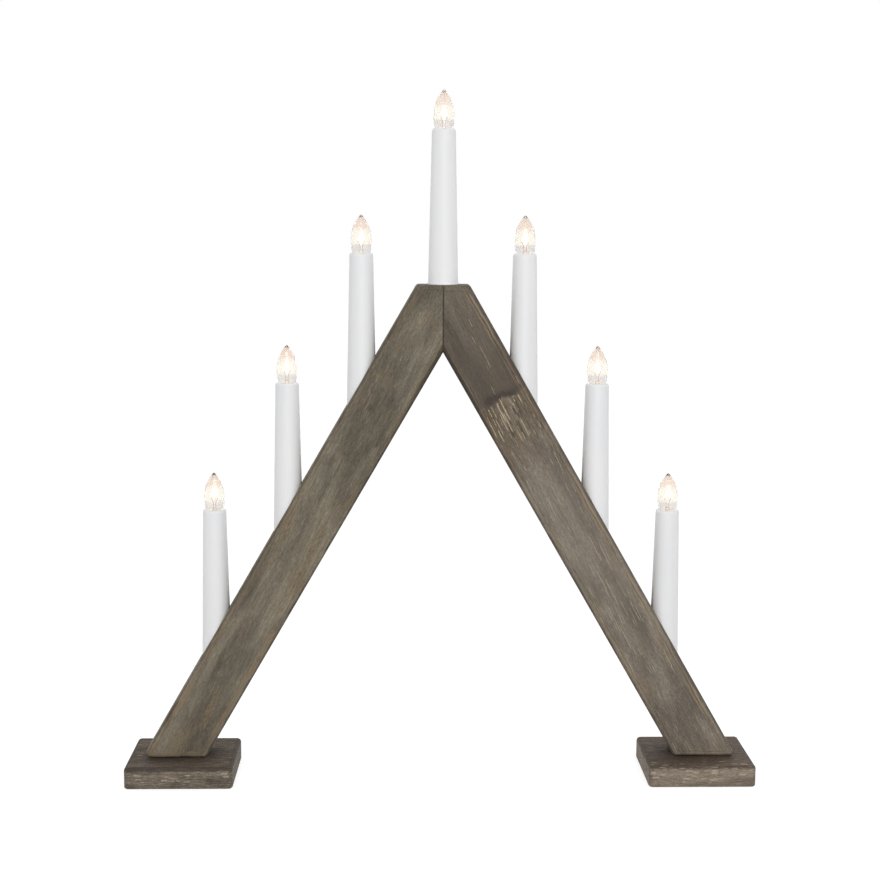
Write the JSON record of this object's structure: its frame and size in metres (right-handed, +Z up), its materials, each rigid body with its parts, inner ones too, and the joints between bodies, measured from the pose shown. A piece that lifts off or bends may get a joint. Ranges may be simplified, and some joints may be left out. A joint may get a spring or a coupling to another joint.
{
  "type": "candle arch",
  "caption": "A-shaped electric candle arch: two slanted wooden planks on block feet carry a row of tall white candle tubes with screw-in candle bulbs.",
  "frame": {"origin": "on the surface that the feet stand on, midway between them and under the middle candle", "axes": "+X along the arch to the viewer's right, +Y to the back, +Z up"},
  "size_m": [0.4302, 0.061, 0.4669],
  "materials": {
    "stained_wood": "grey-brown stain, open grain, worn pale at the edges",
    "beech": "bare beech dowel",
    "candle_plastic": "satin white moulding",
    "holder_plastic": "white insulating cup",
    "brass": "stamped brass",
    "screw_steel": "zinc plated",
    "wire_insulation": "white insulation",
    "lamp_glass": "clear",
    "stem_glass": "clear stem with bare wires",
    "insulator": "black glass insulator with its solder contact"
  },
  "bodies": {
    "frame": {"left_leg": "stained_wood", "right_leg": "stained_wood", "left_foot": "stained_wood", "right_foot": "stained_wood", "left_groove_cover": "stained_wood", "right_groove_cover": "stained_wood", "mitre_dowels": "beech", "foot_screws": "screw_steel", "wiring": "wire_insulation", "screw_shells": "brass", "contact_springs": "brass", "candle_tube_1": "candle_plastic", "lamp_holder_1": "holder_plastic", "candle_tube_2": "candle_plastic", "lamp_holder_2": "holder_plastic", "candle_tube_3": "candle_plastic", "lamp_holder_3": "holder_plastic", "candle_tube_4": "candle_plastic", "lamp_holder_4": "holder_plastic", "candle_tube_5": "candle_plastic", "lamp_holder_5": "holder_plastic", "candle_tube_6": "candle_plastic", "lamp_holder_6": "holder_plastic", "candle_tube_7": "candle_plastic", "lamp_holder_7": "holder_plastic"},
    "bulb_base_1": {"bulb_contact_1": "insulator"},
    "bulb_1": {"bulb_glass_1": "lamp_glass", "bulb_cap_1": "brass", "bulb_stem_1": "stem_glass"},
    "bulb_base_2": {"bulb_contact_2": "insulator"},
    "bulb_2": {"bulb_glass_2": "lamp_glass", "bulb_cap_2": "brass", "bulb_stem_2": "stem_glass"},
    "bulb_base_3": {"bulb_contact_3": "insulator"},
    "bulb_3": {"bulb_glass_3": "lamp_glass", "bulb_cap_3": "brass", "bulb_stem_3": "stem_glass"},
    "bulb_base_4": {"bulb_contact_4": "insulator"},
    "bulb_4": {"bulb_glass_4": "lamp_glass", "bulb_cap_4": "brass", "bulb_stem_4": "stem_glass"},
    "bulb_base_5": {"bulb_contact_5": "insulator"},
    "bulb_5": {"bulb_glass_5": "lamp_glass", "bulb_cap_5": "brass", "bulb_stem_5": "stem_glass"},
    "bulb_base_6": {"bulb_contact_6": "insulator"},
    "bulb_6": {"bulb_glass_6": "lamp_glass", "bulb_cap_6": "brass", "bulb_stem_6": "stem_glass"},
    "bulb_base_7": {"bulb_contact_7": "insulator"},
    "bulb_7": {"bulb_glass_7": "lamp_glass", "bulb_cap_7": "brass", "bulb_stem_7": "stem_glass"}
  },
  "joints": [
    {"name": "bulb_lift_1", "type": "slide", "parent": "frame", "child": "bulb_base_1", "axis": [0, 0, 1], "range_m": [0, 0.00726]},
    {"name": "bulb_turn_1", "type": "hinge", "parent": "bulb_base_1", "child": "bulb_1", "pos_m": [-0.15434, 0, 0], "axis": [0, 0, 1], "range_deg": [0, 1440]},
    {"name": "bulb_lift_2", "type": "slide", "parent": "frame", "child": "bulb_base_2", "axis": [0, 0, 1], "range_m": [0, 0.00726]},
    {"name": "bulb_turn_2", "type": "hinge", "parent": "bulb_base_2", "child": "bulb_2", "pos_m": [-0.10437, 0, 0], "axis": [0, 0, 1], "range_deg": [0, 1440]},
    {"name": "bulb_lift_3", "type": "slide", "parent": "frame", "child": "bulb_base_3", "axis": [0, 0, 1], "range_m": [0, 0.00726]},
    {"name": "bulb_turn_3", "type": "hinge", "parent": "bulb_base_3", "child": "bulb_3", "pos_m": [-0.0544, 0, 0], "axis": [0, 0, 1], "range_deg": [0, 1440]},
    {"name": "bulb_lift_4", "type": "slide", "parent": "frame", "child": "bulb_base_4", "axis": [0, 0, 1], "range_m": [0, 0.00726]},
    {"name": "bulb_turn_4", "type": "hinge", "parent": "bulb_base_4", "child": "bulb_4", "pos_m": [0, 0, 0], "axis": [0, 0, 1], "range_deg": [0, 1440]},
    {"name": "bulb_lift_5", "type": "slide", "parent": "frame", "child": "bulb_base_5", "axis": [0, 0, 1], "range_m": [0, 0.00726]},
    {"name": "bulb_turn_5", "type": "hinge", "parent": "bulb_base_5", "child": "bulb_5", "pos_m": [0.0544, 0, 0], "axis": [0, 0, 1], "range_deg": [0, 1440]},
    {"name": "bulb_lift_6", "type": "slide", "parent": "frame", "child": "bulb_base_6", "axis": [0, 0, 1], "range_m": [0, 0.00726]},
    {"name": "bulb_turn_6", "type": "hinge", "parent": "bulb_base_6", "child": "bulb_6", "pos_m": [0.10437, 0, 0], "axis": [0, 0, 1], "range_deg": [0, 1440]},
    {"name": "bulb_lift_7", "type": "slide", "parent": "frame", "child": "bulb_base_7", "axis": [0, 0, 1], "range_m": [0, 0.00726]},
    {"name": "bulb_turn_7", "type": "hinge", "parent": "bulb_base_7", "child": "bulb_7", "pos_m": [0.15434, 0, 0], "axis": [0, 0, 1], "range_deg": [0, 1440]}
  ],
  "couplings": [
    {"joint": "bulb_lift_1", "follows": "bulb_turn_1", "m_per_rad": 0.00028871},
    {"joint": "bulb_lift_2", "follows": "bulb_turn_2", "m_per_rad": 0.00028871},
    {"joint": "bulb_lift_3", "follows": "bulb_turn_3", "m_per_rad": 0.00028871},
    {"joint": "bulb_lift_4", "follows": "bulb_turn_4", "m_per_rad": 0.00028871},
    {"joint": "bulb_lift_5", "follows": "bulb_turn_5", "m_per_rad": 0.00028871},
    {"joint": "bulb_lift_6", "follows": "bulb_turn_6", "m_per_rad": 0.00028871},
    {"joint": "bulb_lift_7", "follows": "bulb_turn_7", "m_per_rad": 0.00028871}
  ]
}
